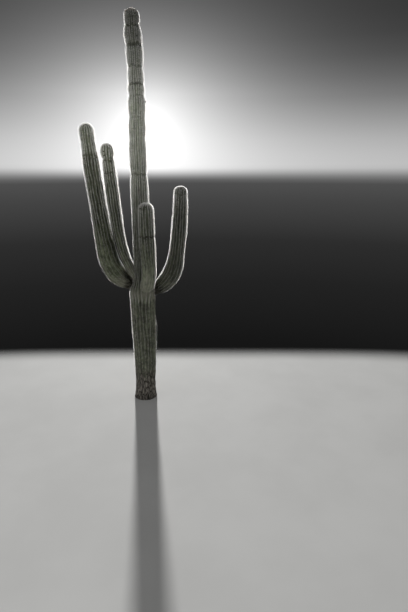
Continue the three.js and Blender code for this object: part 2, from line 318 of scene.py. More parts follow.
# =====================================================================================
# Node materials
# =====================================================================================
class Nodes:
    """Short names for the shader nodes that the materials here are made of."""

    def __init__(self, name):
        self.mat = bpy.data.materials.new(name)
        self.mat.use_nodes = True
        self.tree = self.mat.node_tree
        self.bsdf = next(n for n in self.tree.nodes if n.type == "BSDF_PRINCIPLED")

    def new(self, kind, **set_):
        n = self.tree.nodes.new(kind)
        for k, v in set_.items():
            setattr(n, k, v)
        return n

    def put(self, socket, value):
        if isinstance(value, bpy.types.NodeSocket):
            self.tree.links.new(value, socket)
        else:
            socket.default_value = value

    def attribute(self, name, vector=False):
        n = self.new("ShaderNodeAttribute", attribute_name=name)
        return n.outputs["Vector" if vector else "Fac"]

    def place(self):
        return self.new("ShaderNodeTexCoord").outputs["Object"]

    def scaled(self, vector, by):
        n = self.new("ShaderNodeVectorMath", operation="MULTIPLY")
        self.put(n.inputs[0], vector)
        n.inputs[1].default_value = by
        return n.outputs[0]

    def noise(self, vector, scale, detail=3.0, rough=0.55, distort=0.0):
        n = self.new("ShaderNodeTexNoise")
        self.put(n.inputs["Vector"], vector)
        n.inputs["Scale"].default_value = scale
        n.inputs["Detail"].default_value = detail
        n.inputs["Roughness"].default_value = rough
        n.inputs["Distortion"].default_value = distort
        return n.outputs["Fac"]

    def cells(self, vector, scale, feature="DISTANCE_TO_EDGE"):
        n = self.new("ShaderNodeTexVoronoi", feature=feature)
        self.put(n.inputs["Vector"], vector)
        n.inputs["Scale"].default_value = scale
        return n.outputs["Distance"]

    def step(self, value, low, high, to_low=0.0, to_high=1.0):
        n = self.new("ShaderNodeMapRange", interpolation_type="SMOOTHSTEP")
        self.put(n.inputs["Value"], value)
        n.inputs["From Min"].default_value = low
        n.inputs["From Max"].default_value = high
        n.inputs["To Min"].default_value = to_low
        n.inputs["To Max"].default_value = to_high
        return n.outputs["Result"]

    def sum(self, a, b, operation="ADD"):
        n = self.new("ShaderNodeMath", operation=operation)
        self.put(n.inputs[0], a)
        self.put(n.inputs[1], b)
        return n.outputs[0]

    def mix(self, share, a, b, blend="MIX"):
        n = self.new("ShaderNodeMix", data_type="RGBA", blend_type=blend, clamp_factor=True)
        self.put(n.inputs[0], share)
        for socket, value in ((n.inputs[6], a), (n.inputs[7], b)):
            self.put(socket, value if isinstance(value, bpy.types.NodeSocket) else (*value, 1.0))
        return n.outputs[2]

    def grey(self, value):
        n = self.new("ShaderNodeCombineColor")
        for socket in n.inputs[:3]:
            self.put(socket, value)
        return n.outputs[0]

    def bump(self, height, distance, strength=1.0, under=None):
        n = self.new("ShaderNodeBump")
        self.put(n.inputs["Height"], height)
        n.inputs["Distance"].default_value = distance
        n.inputs["Strength"].default_value = strength
        if under is not None:
            self.put(n.inputs["Normal"], under)
        return n.outputs["Normal"]


def skin(name, crest_colour, furrow_colour, cork_colour, gloss=0.35):
    """Waxy cactus skin: paler worn crests, dark furrows, fine streaks along the ribs, painted shade in the pinches
    where growth stopped and in the creases by the joints, painted light and shade along the limbs, painted highlights,
    pale scratches, and cork where the limb is old."""
    n = Nodes(name)
    limb = n.attribute("limb", vector=True)
    crest = n.attribute("crest")
    mottle = n.noise(limb, 11, 4)
    fine = n.noise(limb, 95, 3, 0.6)
    streak = n.noise(n.scaled(limb, (52, 52, 4.6)), 1, 4, 0.62)
    long_streak = n.noise(n.scaled(limb, (19, 19, 1.3)), 1, 3, 0.5, 0.4)
    # crest to furrow, its edge broken by the mottling
    lift = n.sum(crest, n.sum(n.sum(mottle, -0.5), 0.8, "MULTIPLY"))
    colour = n.mix(n.step(lift, 0.05, 1.05), furrow_colour, crest_colour)
    # the tone attribute carries painted light and shade along each limb, as well as random tone
    colour = n.mix(1.0, colour, n.grey(n.attribute("tone")), "MULTIPLY")
    colour = n.mix(1.0, colour, n.grey(n.step(streak, 0.25, 0.78, 0.66, 1.34)), "MULTIPLY")
    colour = n.mix(1.0, colour, n.grey(n.step(long_streak, 0.3, 0.72, 0.76, 1.22)), "MULTIPLY")
    dashes = n.noise(n.scaled(limb, (25, 25, 13)), 1, 3, 0.6)
    colour = n.mix(1.0, colour, n.grey(n.step(dashes, 0.34, 0.66, 0.62, 1.42)), "MULTIPLY")
    colour = n.mix(1.0, colour, n.grey(n.step(fine, 0.25, 0.75, 0.88, 1.12)), "MULTIPLY")
    # pale scratches along the ribs, and skin worn pale; both masks also carry painted highlights on the stem's collar,
    # and the worn mask a painted highlight on the front arm's bulge
    scratch_and_highlight = n.sum(n.attribute("pale"), n.step(n.noise(n.scaled(limb, (60, 60, 8)), 1, 3, 0.6), 0.5, 0.64), "MULTIPLY")
    colour = n.mix(scratch_and_highlight, colour, (0.34, 0.32, 0.25))
    worn_and_highlight = n.sum(n.attribute("worn"), n.step(mottle, 0.3, 0.6, 0.35, 1.0), "MULTIPLY")
    colour = n.mix(worn_and_highlight, colour, (0.34, 0.33, 0.27))
    # painted shade in the pinches where growth stopped and in the creases by the arms' joints, and dark on the crown's
    # new growth
    ragged = n.step(n.noise(n.scaled(limb, (24, 24, 10)), 1, 3, 0.6), 0.36, 0.56)
    ring = n.sum(n.attribute("ring"), n.sum(0.35, n.sum(ragged, 0.65, "MULTIPLY")), "MULTIPLY")
    colour = n.mix(ring, colour, (0.018, 0.018, 0.014))
    # cork
    cork = n.attribute("cork")
    split = n.cells(n.scaled(limb, (30, 30, 7)), 1)
    bark = n.mix(n.step(split, 0.02, 0.2), (0.04, 0.036, 0.03), cork_colour)
    bark = n.mix(1.0, bark, n.grey(n.step(n.noise(n.scaled(limb, (38, 38, 7)), 1, 5, 0.65), 0.34, 0.66, 0.34, 1.8)), "MULTIPLY")
    fray = n.sum(n.sum(mottle, -0.5), n.sum(n.sum(streak, -0.5), 0.9, "MULTIPLY"))
    worn = n.step(n.sum(cork, fray), 0.08, 0.9)
    colour = n.mix(worn, colour, bark)
    n.put(n.bsdf.inputs["Base Color"], colour)
    rough = n.sum(n.step(fine, 0.2, 0.8, 0.5, 0.72), n.sum(worn, 0.25, "MULTIPLY"))
    rough = n.sum(rough, n.step(n.attribute("tone"), 0.15, 0.6, 1.0, 0.0), "MAXIMUM")
    n.put(n.bsdf.inputs["Roughness"], rough)
    n.bsdf.inputs["Specular IOR Level"].default_value = gloss
    normal = n.bump(streak, 0.0035)
    normal = n.bump(fine, 0.0012, under=normal)
    height = n.sum(n.step(split, 0.0, 0.3), worn, "MULTIPLY")
    normal = n.bump(height, 0.011, under=normal)
    n.put(n.bsdf.inputs["Normal"], normal)
    return n.mat


def spine_material(name, pale, grey, through_light):
    n = Nodes(name)
    where = n.place()
    colour = n.mix(n.step(n.noise(where, 9, 2), 0.36, 0.66), pale, grey)
    colour = n.mix(1.0, colour, n.grey(n.step(n.noise(where, 140, 2, 0.6), 0.25, 0.75, 0.8, 1.15)), "MULTIPLY")
    n.put(n.bsdf.inputs["Base Color"], colour)
    n.put(n.bsdf.inputs["Roughness"], n.step(n.noise(where, 60, 2), 0.3, 0.7, 0.42, 0.62))
    n.bsdf.inputs["Specular IOR Level"].default_value = 0.5
    n.bsdf.inputs["Subsurface Weight"].default_value = through_light
    n.bsdf.inputs["Subsurface Radius"].default_value = (1.0, 0.96, 0.9)
    n.bsdf.inputs["Subsurface Scale"].default_value = 0.006
    return n.mat


def felt_material(name, light, dark):
    n = Nodes(name)
    where = n.place()
    colour = n.mix(n.step(n.noise(where, 22, 3), 0.35, 0.65), dark, light)
    colour = n.mix(1.0, colour, n.grey(n.step(n.noise(where, 400, 3, 0.7), 0.25, 0.75, 0.65, 1.3)), "MULTIPLY")
    n.put(n.bsdf.inputs["Base Color"], colour)
    n.put(n.bsdf.inputs["Roughness"], n.step(n.noise(where, 90, 2), 0.3, 0.7, 0.82, 0.98))
    n.bsdf.inputs["Sheen Weight"].default_value = 0.35
    n.bsdf.inputs["Specular IOR Level"].default_value = 0.2
    n.put(n.bsdf.inputs["Normal"], n.bump(n.noise(where, 600, 3, 0.7), 0.0012))
    return n.mat


def scar_material(name):
    n = Nodes(name)
    where = n.place()
    colour = n.mix(n.step(n.noise(where, 120, 3, 0.6), 0.3, 0.7), (0.016, 0.012, 0.009), (0.06, 0.045, 0.032))
    n.put(n.bsdf.inputs["Base Color"], colour)
    n.put(n.bsdf.inputs["Roughness"], n.step(n.noise(where, 60, 2), 0.3, 0.7, 0.7, 0.95))
    n.bsdf.inputs["Specular IOR Level"].default_value = 0.25
    n.put(n.bsdf.inputs["Normal"], n.bump(n.noise(where, 260, 3, 0.7), 0.0015))
    return n.mat


STEM_SKIN = skin("stem_skin", (0.128, 0.139, 0.096), (0.084, 0.095, 0.064), (0.25, 0.23, 0.2))
ARM_SKIN = skin("arm_skin", (0.104, 0.116, 0.077), (0.068, 0.078, 0.05), (0.14, 0.125, 0.1))
DULL_ARM_SKIN = skin("arm_skin_dull", (0.108, 0.12, 0.08), (0.07, 0.08, 0.052), (0.14, 0.125, 0.1), 0.03)
SPINES = spine_material("spine_straw", (0.62, 0.61, 0.58), (0.5, 0.49, 0.462), 0.9)
GREY_SPINES = spine_material("spine_grey", (0.33, 0.32, 0.295), (0.22, 0.213, 0.193), 0.7)
OLD_SPINES = spine_material("spine_weathered", (0.48, 0.467, 0.435), (0.3, 0.29, 0.265), 0.8)
# a darker copy of the straw spines: painted shade for the side that faces the low sun
PAINTED_SHADE_SPINES = spine_material("spine_painted_shade", (0.26, 0.25, 0.226), (0.17, 0.164, 0.147), 0.5)
DULL_SPINES = spine_material("spine_dull", (0.14, 0.135, 0.12), (0.09, 0.086, 0.076), 0.3)
YOUNG_SPINES = spine_material("spine_young", (0.5, 0.38, 0.27), (0.34, 0.24, 0.17), 0.8)
FELT = felt_material("areole_felt", (0.26, 0.235, 0.185), (0.085, 0.07, 0.052))
SCAR = scar_material("bud_scar")


# =====================================================================================
# Meshes
# =====================================================================================
def mesh_object(name, points, faces, mat, smooth_shade=False, sizes=None, attributes=None):
    """A mesh object from arrays, in metres. faces is (n, k), or a flat list with sizes beside it."""
    mesh = bpy.data.meshes.new(name)
    points = np.asarray(points, np.float32)
    faces = np.asarray(faces, np.int32)
    if sizes is None:
        sizes = np.full(len(faces), faces.shape[1], np.int32)
        faces = faces.ravel()
    starts = np.concatenate([[0], np.cumsum(sizes)[:-1]]).astype(np.int32)
    mesh.vertices.add(len(points))
    mesh.vertices.foreach_set("co", points.ravel())
    mesh.loops.add(len(faces))
    mesh.loops.foreach_set("vertex_index", faces)
    mesh.polygons.add(len(sizes))
    mesh.polygons.foreach_set("loop_start", starts)
    mesh.polygons.foreach_set("use_smooth", np.full(len(sizes), smooth_shade, bool))
    mesh.update(calc_edges=True)
    mesh.validate()
    for key, values in (attributes or {}).items():
        values = np.asarray(values, np.float32)
        if values.ndim == 2:
            layer = mesh.attributes.new(key, "FLOAT_VECTOR", "POINT")
            layer.data.foreach_set("vector", values.ravel())
        else:
            layer = mesh.attributes.new(key, "FLOAT", "POINT")
            layer.data.foreach_set("value", values)
    mesh.materials.append(mat)
    ob = bpy.data.objects.new(name, mesh)
    scene.collection.objects.link(ob)
    return ob


# where each arm leaves the stem
JOINTS = {name: arm.frame(np.array([225.0]))[0][0] for name, arm in arms.items()}


def body(limb, start, ring_step, per_rib, name, mat):
    """The limb's whole surface as one closed mesh, with the values that its material reads."""
    body_end = limb.length - limb.dome
    steps = int(round((body_end - start) / ring_step))
    s = np.concatenate([np.linspace(start, body_end, steps + 1),
                        body_end + limb.dome * np.sin(np.linspace(0, math.pi / 2, 15)[1:-1])])
    around = limb.ribs * per_rib
    u = np.arange(around) / per_rib
    S, U = np.meshgrid(s, u, indexing="ij")
    points = limb.point(S, U).reshape(-1, 3)
    tip = limb.frame(np.array([float(limb.length)]))[0][0]
    foot = limb.frame(np.array([float(start)]))[0][0]
    k, j = np.meshgrid(np.arange(len(s) - 1), np.arange(around), indexing="ij")
    k, j = k.ravel(), j.ravel()
    nxt = (j + 1) % around
    quads = np.stack([k * around + j, k * around + nxt, (k + 1) * around + nxt, (k + 1) * around + j], 1)
    n = len(points)
    last = (len(s) - 1) * around
    ring = np.arange(around)
    top = np.stack([last + ring, last + (ring + 1) % around, np.full(around, n)], 1)
    base = np.stack([(ring + 1) % around, ring, np.full(around, n + 1)], 1)
    faces = np.concatenate([quads.ravel(), top.ravel(), base.ravel()])
    sizes = np.concatenate([np.full(len(quads), 4), np.full(2 * around, 3)]).astype(np.int32)
    points = np.concatenate([points, [tip], [foot]])

    S, U = S.ravel(), U.ravel()
    crest = 1 - np.abs(U - np.round(U)) * 2
    if limb.name == "stem":
        crest = 0.5 + (crest - 0.5) * (1 - 0.3 * smooth((S - 2200) / 300))
    else:  # stretched smooth round the bend
        crest = 0.5 + (crest - 0.5) * (0.05 + (0.35 if limb.name == "left_outer" else 0.6) * smooth((S - 900) / 900))
    theta = limb.angle(S, U)
    r = limb.radius(S, U)
    flat = np.stack([r * np.cos(theta), r * np.sin(theta), S], 1) / 1000
    # the tone carries the painted light and shade along each limb, with random tone from rib to rib
    tone = through(PAINTED_LIGHT_AND_SHADE[limb.name], S) * (1 + (0.3 + 0.2 * (limb.name == "stem") * (1 - smooth((S - 1900) / 300))) * limb.tone.at(U, S))
    # painted shade where growth stopped and the limb pinches in, and dark on the crown's new growth
    dark = np.maximum(limb.ring_pinch_shade(S, U), (0.85 if limb.name == "stem" else 0.7) * smooth((S - (limb.length - 95)) / 80))
    pale = np.full(len(S), 0.18)
    cork = np.zeros(len(S))
    at = points[:-2]
    if limb.name == "stem":
        # painted shade on the stem's left flank, above the collar
        tone = tone * (1 - 0.75 * bump(np.mod(theta, TAU), math.pi, 0.5) * smooth((S - 2450) / 200) * (1 - smooth((S - 3100) / 1000)))
        # painted light on the collar: a lighter band, and painted highlights on the rib crests just below it
        tone = tone * (1 + 0.25 * bump(S, 2165, 80)) * (1 + 2.2 * np.clip(crest, 0, 1) ** 3 * bump(S, 2115, 38))
        cork = 1.1 * (1 - smooth((S - 60) / 1000))
        # painted highlights on the collar: pale skin where the swelling ribs catch the light
        pale = np.maximum(pale, 0.6 * bump(S, 2215, 90))
        worn = 0.6 * bump(S, 2225, 62) + 1.5 * np.clip(crest, 0, 1) ** 2 * bump(S, 2125, 42)
        # painted shade on the stem round the joints of the back and side arms
        for joint, spot in JOINTS.items():
            if joint != "front":
                away = np.linalg.norm(at - spot, axis=1)
                dark = np.maximum(dark, 0.8 * (1 - smooth((away - 100) / 70)))
    else:
        if limb.name == "left_outer":  # painted shade in a deep crease where it leaves the stem, on its upper side by the stem, and on the side that faces its neighbour
            dark = np.maximum(dark, 1 - smooth((S - 280) / 75))
            dark = np.maximum(dark, smooth((limb.outward(S, U)[:, 2] - 0.25) / 0.35) * (1 - smooth((S - 400) / 140)))
            tone = tone * (0.15 + 0.85 * smooth((S - 285) / 60))
            out = limb.outward(S, U)
            facing_shade = 0.8 * smooth((out[:, 0] - 0.6) / 0.3) * (1 - smooth((S - 1100) / 300))
            facing_shade = np.maximum(facing_shade, smooth((out[:, 2] - 0.5) / 0.3) * (1 - smooth((S - 700) / 300)))
            tone = tone * (1 - 0.9 * facing_shade * (1 - 0.7 * smooth(out[:, 1] / 0.4)))
        elif limb.name == "right":
            # painted shade round the joint where it leaves the stem
            dark = np.maximum(dark, 1 - smooth((S - 290) / 140))
            tone = tone * (0.2 + 0.8 * smooth((S - 300) / 140))
        elif limb.name == "left_inner":  # painted shade where it faces its neighbour
            facing_shade = smooth((-limb.outward(S, U)[:, 0] - 0.45) / 0.3) * (1 - smooth((S - 1000) / 400))
            tone = tone * (1 - 0.9 * facing_shade)
        pale = np.maximum(pale, 0.4 * bump(S, 520, 190))
        cork = np.maximum(cork, 0.25 * (1 - smooth((S - 280) / 300)))
        worn = 0.5 * (1 - smooth((S - 380) / 200)) * (limb.name != "right")
        if limb.name == "front":
            # painted highlight: a pale streak on the top of the front arm's bulge
            worn = np.maximum(worn, 0.75 * bump(U, 15, 0.55) * bump(S, 560, 150))
    # darker on the side that faces the low sun: painted shade
    tone = tone * (1 - 0.35 * smooth((limb.outward(S, U)[:, 1] - 0.35) / 0.4))
    extra = lambda values, end: np.concatenate([values, [end, end]])
    return mesh_object(name, points / 1000, faces, mat, True, sizes, {
        "limb": np.concatenate([flat, [[0, 0, limb.length / 1000]], [[0, 0, start / 1000]]]),
        "crest": extra(crest, 0.0), "tone": extra(tone, 1.0), "ring": extra(dark, 0.8),
        "pale": extra(pale, 0.0), "cork": extra(cork, 0.0), "worn": extra(worn, 0.0),
    })


stem_skin = body(stem, 0.0, 24.0, 6, "trunk_skin", STEM_SKIN)
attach(stem_skin, "root")
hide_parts("trunk")
for name, arm in arms.items():
    ob = body(arm, 60.0, 24.0, 6, f"arm_{name}_skin", DULL_ARM_SKIN if name.startswith("left") else ARM_SKIN)
    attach(ob, "root")
    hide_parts(f"arm_{name}_elbow", f"arm_{name}_upright")


# =====================================================================================
# Areoles and spines
# =====================================================================================
def areole_places(limb, start, pitch):
    """Where the areoles sit: along each rib's crest, a pitch apart, each rib offset from the next."""
    fine = np.concatenate([np.arange(start, limb.length - limb.dome, 4.0),
                           limb.length - limb.dome + limb.dome * np.sin(np.linspace(0, math.pi / 2, 80))])
    found_s, found_u = [], []
    for i in range(limb.ribs):
        path = limb.point(fine, np.full(len(fine), float(i)))
        run = np.concatenate([[0], np.cumsum(np.linalg.norm(np.diff(path, axis=0), axis=1))])
        gap = np.interp(fine, [p[0] for p in pitch], [p[1] for p in pitch])
        count = np.concatenate([[0], np.cumsum(np.diff(run) / gap[1:])])
        marks = np.arange(limb.rng.uniform(0, 1), count[-1], 1.0)
        marks = marks + limb.rng.uniform(-0.13, 0.13, len(marks))
        at = np.interp(marks, count, fine)
        at = at[limb.crest(at) > 26]
        found_s.append(at)
        found_u.append(np.full(len(at), float(i)))
    return np.concatenate(found_s), np.concatenate(found_u)


def areole_frames(limb, s, u):
    here = limb.point(s, u)
    ahead = limb.point(np.minimum(s + 3, limb.length - 0.5), u)
    behind = limb.point(np.maximum(s - 3, 0), u)
    along = ahead - behind
    along /= np.linalg.norm(along, axis=1, keepdims=True)
    out = limb.outward(s, u)
    out = out - (out * along).sum(1, keepdims=True) * along
    out /= np.linalg.norm(out, axis=1, keepdims=True)
    return here, out, along, np.cross(along, out)


LOW, HIGH = (np.array(v) * 1000 for v in cad_box)
MARGIN = (HIGH - LOW) * 0.03 + 10


def spines(limb, s, u, count, length, width, leans, rng, name, mat):
    """Needles of three faces each, rooted in their areoles. count and length are given for each areole:
    how many needles it has, and the length of its longest in mm. leans: the least and most that they lean
    away from straight out, in degrees."""
    here, out, along, side = areole_frames(limb, s, u)
    which = np.repeat(np.arange(len(here)), count)
    order = np.concatenate([np.arange(c) for c in count])
    share = (order + 0.5) / count[which]
    polar = np.radians(np.clip(leans[0] + (leans[1] - leans[0]) * share ** 0.9 + rng.normal(0, 6, len(order)), 2, 86))
    turn = order * 2.39996 + rng.uniform(0, TAU, len(here))[which] + rng.normal(0, 0.25, len(order))
    size = length[which] * (1.0 - 0.45 * smooth((np.degrees(polar) - 35) / 50)) * rng.uniform(0.7, 1.08, len(order))
    o, a, b = out[which], along[which], side[which]
    aim = (np.cos(polar)[:, None] * o + (np.sin(polar) * np.cos(turn))[:, None] * a + (np.sin(polar) * np.sin(turn))[:, None] * b)
    root = here[which] + 1.2 * (np.cos(turn)[:, None] * a + np.sin(turn)[:, None] * b) - 0.5 * o
    tip = root + aim * size[:, None]
    # nothing reaches past the plant's own room
    low, high = LOW - 0.93 * MARGIN, HIGH + 0.93 * MARGIN
    low[2] = 4
    for k in range(3):
        over = np.maximum((tip[:, k] - high[k]) / np.where(aim[:, k] > 1e-6, aim[:, k], 1e9),
                          (low[k] - tip[:, k]) / np.where(aim[:, k] < -1e-6, -aim[:, k], 1e9))
        tip = tip - aim * np.clip(over, 0, size * 0.8)[:, None]
    across = np.cross(aim, rng.normal(0, 1, aim.shape))
    across /= np.linalg.norm(across, axis=1, keepdims=True)
    other = np.cross(aim, across)
    w = (width * rng.uniform(0.8, 1.2, len(order)) * 0.58)[:, None]
    rim = [root + w * (math.cos(t) * across + math.sin(t) * other) for t in (0, TAU / 3, 2 * TAU / 3)]
    points = np.stack([*rim, tip], 1).reshape(-1, 3)
    base = np.arange(len(order))[:, None] * 4
    faces = np.concatenate([base + [0, 1, 3], base + [1, 2, 3], base + [2, 0, 3]])
    ob = mesh_object(name, points / 1000, faces, mat)
    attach(ob, "root")


def pads(limb, s, u, name, mat, long=6.2, wide=4.6, high=3.2):
    """A small felt cushion under each areole's needles."""
    here, out, along, side = areole_frames(limb, s, u)
    size = limb.rng.uniform(0.82, 1.18, (len(s), 1))
    centre = here + 0.6 * out
    corners = [centre + size * long * along - 2 * out, centre + size * wide * side - 2 * out,
               centre - size * long * along - 2 * out, centre - size * wide * side - 2 * out, centre + size * high * out]
    points = np.stack(corners, 1).reshape(-1, 3)
    base = np.arange(len(s))[:, None] * 5
    faces = np.concatenate([base + [a, b, 4] for a, b in ((0, 1), (1, 2), (2, 3), (3, 0))])
    ob = mesh_object(name, points / 1000, faces, mat)
    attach(ob, "root")


def scars(limb, s, u, rng, name):
    """Small dark cups on the crests, where last year's buds dropped off."""
    here, out, along, side = areole_frames(limb, s, u)
    size = rng.uniform(6, 9, (len(s), 1))
    around = 10
    points = []
    for share, lift in ((1.0, -3.0), (1.0, 2.2), (0.8, 3.6), (0.45, 1.6), (0.0, 1.0)):
        for k in range(around if share else 1):
            t = TAU * k / around
            wobble = 1 + 0.1 * math.sin(3 * t + share)
            points.append(here + size * share * wobble * (math.cos(t) * along * 1.15 + math.sin(t) * side * 0.85) + lift * out)
    points = np.stack(points, 1).reshape(-1, 3)
    each = 4 * around + 1
    local = []
    for ring in range(3):
        for k in range(around):
            a, b = ring * around + k, ring * around + (k + 1) % around
            local += [(b, a, a + around), (b, a + around, b + around)]
    local += [(3 * around + (k + 1) % around, 3 * around + k, 4 * around) for k in range(around)]
    faces = (np.arange(len(s))[:, None, None] * each + np.array(local)[None]).reshape(-1, 3)
    ob = mesh_object(name, points / 1000, faces, SCAR)
    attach(ob, "root")


def dried_bud(limb, s, u, name):
    """One bud that dried on its areole: a short scaly cone that leans upward."""
    here, out, along, side = (v[0] for v in areole_frames(limb, np.array([float(s)]), np.array([float(u)])))
    axis = out + 0.35 * along
    axis /= np.linalg.norm(axis)
    a = np.cross(side, axis)
    around, rings = 15, 12
    points = []
    for i in range(rings + 1):
        q = i / rings
        r = 15 * (math.sqrt(max(0.0, 1 - q**2.6)) * (0.72 + 0.5 * math.sin(min(1, q * 1.5) * math.pi / 2)) - 0.12)
        for k in range(around):
            t = TAU * k / around
            scale = 1 + 0.16 * math.sin(5 * t + 2.6 * i) * (1 - q)
            points.append(here - 4 * axis + 36 * q * axis + max(r, 0.4) * scale * (math.cos(t) * a + math.sin(t) * side))
    faces = []
    for i in range(rings):
        for k in range(around):
            p, q = i * around + k, i * around + (k + 1) % around
            faces += [(p, q, q + around), (p, q + around, p + around)]
    points.append(here + 33 * axis)
    faces += [(rings * around + k, rings * around + (k + 1) % around, len(points) - 1) for k in range(around)]
    ob = mesh_object(name, np.array(points) / 1000, np.array(faces), SCAR, True)
    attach(ob, "root")


rng = np.random.default_rng(404)


def dress(limb, s, u, name, parts):
    """The areoles of one limb with their felt, scars and spines. parts: name, mask, needles, longest, leans,
    width, material."""
    tip = limb.length - s
    scarred = rng.uniform(0, 1, len(s)) < 0.06 * bump(tip, 110, 90) + 0.016 * (tip < 520)
    pads(limb, s[~scarred], u[~scarred], f"{name}_areoles", FELT)
    scars(limb, s[scarred], u[scarred], rng, f"{name}_scars")
    dark = limb.ring_pinch_shade(s, u)
    wave = limb.dense.on(u, s)
    for part, mask, needles, longest, leans, width, mat in parts:
        uneven = 0.3 + 0.45 * (limb is stem) * (s < 2000)
        count = np.round(needles * (1 + uneven * wave) * (1 - 0.98 * smooth(dark / 0.6)) + rng.uniform(-0.4, 0.4, len(s))).astype(int)
        pick = mask & ~scarred & (count > 0)
        length = np.broadcast_to(longest, s.shape) * (1 + 0.1 * wave) * (1 - 0.45 * dark)
        spines(limb, s[pick], u[pick], count[pick], length[pick], width, leans, rng, part, mat)


# the stem: none on the corky foot, few and short on its right flank, dense and long above the arms
s, u = areole_places(stem, 330, [[0, 30], [2030, 26], [2080, 21], [2280, 21], [2500, 22.5], [6800, 21.5], [7000, 15]])
theta = np.mod(stem.angle(s, u) + math.pi, TAU) - math.pi
flank = 1 - smooth((np.abs(theta) - 0.5) / 0.5)
bare = flank * (s < 2240)
fringe = flank * smooth((s - 700) / 100) * (1 - smooth((s - 1650) / 100))
age = smooth((s - 380) / 700)
collar = bump(s, 2160, 95)
dashes = bump(s, 2112, 30)
chance = rng.uniform(0, 1, len(s)) < (0.15 + 0.85 * age) * (1 - 0.75 * bare)
old = np.maximum((15 + 13 * age) * (1 - 0.6 * bare), 30 * collar * (1 - 0.4 * bare))
shaded = bump(math.pi - np.abs(theta), 0, 0.55) * smooth((s - 2450) / 250) * (1 - smooth((s - 3100) / 1100))
fresh = np.interp(s, [2330, 2700, 3900, 4250, 4800, 6700, 6900, 7000], [25, 28, 29, 34, 40, 41, 33, 24]) * (1 - 0.5 * shaded)
OUTER, INNER, ALL = (5, 56), (58, 84), (8, 80)
sun_side_shade = np.sin(theta) + rng.normal(0, 0.1, len(s)) > 0.72  # greyer on the side that faces the low sun: a darker copy of the spines, painted shade
dress(stem, s, u, "trunk", (
    ("trunk_spines_lower", chance & (s < 2330), 12, old, ALL, 2.6, OLD_SPINES),
    ("trunk_spines_flank", (fringe > 0.3) & (s < 1700), 2, 46, (4, 34), 2.6, DULL_SPINES),
    ("trunk_spines_worn_side", (np.abs(theta) > 2.4) & (s > 640) & (s < 2060), 3 + 4 * smooth((s - 900) / 400), 25, (5, 62), 2.8, SPINES),
    ("trunk_spines_collar", (s > 2040) & (s < 2330) & (np.abs(theta) > 0.7), 9 * collar + 16 * dashes, 27 - 9 * dashes, (5, 70), 2.8, SPINES),
    ("trunk_spines_middle", ~sun_side_shade & (s >= 2330) & (s < 4200), 12 * (1 - 0.8 * shaded), fresh, OUTER, 3.0, SPINES),
    ("trunk_spines_upper", ~sun_side_shade & (s >= 4200) & (s < 5700), 12, fresh, OUTER, 3.0, SPINES),
    ("trunk_spines_top", (~sun_side_shade | (s > 6930)) & (s >= 5700) & (s < 6982), 12 + 3 * (s > 6930), fresh, OUTER, 3.0, SPINES),
    ("trunk_spines_painted_shade", sun_side_shade & (s >= 2330) & (s <= 6930), 12, fresh, OUTER, 3.0, PAINTED_SHADE_SPINES),
    ("trunk_radials_middle", (s >= 2330) & (s < 4600), 9, fresh * 0.8, INNER, 2.6, GREY_SPINES),
    ("trunk_radials_top", (s >= 4600) & (s < 6930), 9, fresh * 0.7, INNER, 2.6, GREY_SPINES),
    ("trunk_spines_crown", s >= 6945, 9, fresh, ALL, 2.6, YOUNG_SPINES)))
dried_bud(stem, 5600, 0, "trunk_bud")

for name, arm in arms.items():
    s, u = areole_places(arm, 230, [[0, 24], [arm.length - 200, 22], [arm.length, 15]])
    longest = np.interp(s, [230, 500, 1300, 1900, arm.length - 120, arm.length], [20, 27, 31, 37, 40, 26])
    out = arm.outward(s, u)
    # fewer where the elbow faces the ground, and on the side that the plant turns to the weather
    under = smooth((-out[:, 2] - 0.15) / 0.5) * (1 - smooth((s - 900) / 400))
    weather = smooth((-out[:, 0] - 0.5) / 0.4) * (1 - smooth((s - 850) / 250)) if name == "left_outer" else 0 * s
    bend = (1 - smooth((s - arm.spec["split"]) / 600)) * (name != "left_inner")
    away = np.abs(out[:, 1])  # spines are worn off the broad side of a bend
    share = (1 - 0.45 * under) * (1 - 0.35 * weather) * (1 - 0.75 * bend * away)
    front = smooth((-out[:, 1] - 0.2) / 0.5)
    rub = 0 * s  # rubbed bare where two arms face one another
    if name == "left_outer":
        share = share * (1 - 0.6 * front * bump(s, 2350, 380))
        rub = smooth((out[:, 0] - 0.15) / 0.25) * (1 - smooth((s - 1150) / 300))
        rub = np.maximum(rub, smooth((out[:, 2] - 0.3) / 0.3) * (1 - smooth((s - 700) / 300)))
    if name == "left_inner":
        share = share * (1 - 0.55 * front * bump(s, 1950, 300))
        rub = smooth((-out[:, 0] - 0.25) / 0.3) * (1 - smooth((s - 1000) / 350))
    if name == "front":
        share = share * (1 - 0.8 * smooth((-out[:, 0] - 0.35) / 0.4) * (1 - smooth((s - 1000) / 300)))
    if name == "right":  # and where the elbow comes out of the stem
        share = share * (1 - 0.75 * smooth((out[:, 2] - 0.2) / 0.4) * (1 - smooth((s - 430) / 200)))
    rub = rub * smooth((out[:, 1] + 0.85) / 0.3)
    share = share * (1 - rub)
    keep = rub < 0.75
    s, u, share, longest, under = (v[keep] for v in (s, u, share, longest, under))
    # painted shade: the darker spine copy on the side that faces the low sun
    sun_side_shade = arm.outward(s, u)[:, 1] + rng.normal(0, 0.1, len(s)) > 0.72
    clear = s > (330 if name in ("left_outer", "right") else 0)
    dress(arm, s, u, f"arm_{name}", (
        (f"arm_{name}_spines_painted_shade", sun_side_shade & clear, 12 * share, longest * (1 - 0.3 * under), OUTER, 3.0, PAINTED_SHADE_SPINES),
        (f"arm_{name}_spines", ~sun_side_shade & clear, 12 * share, longest * (1 - 0.3 * under), OUTER, 3.0, SPINES),
        (f"arm_{name}_radials", s > 0, 8 * share, longest * 0.65, INNER, 2.6, GREY_SPINES)))


# =====================================================================================
# Stage, light and camera
# =====================================================================================
FLOOR_MIDDLE, FLOOR_HALF = (1.0, -2.6), (10.0, 5.4)


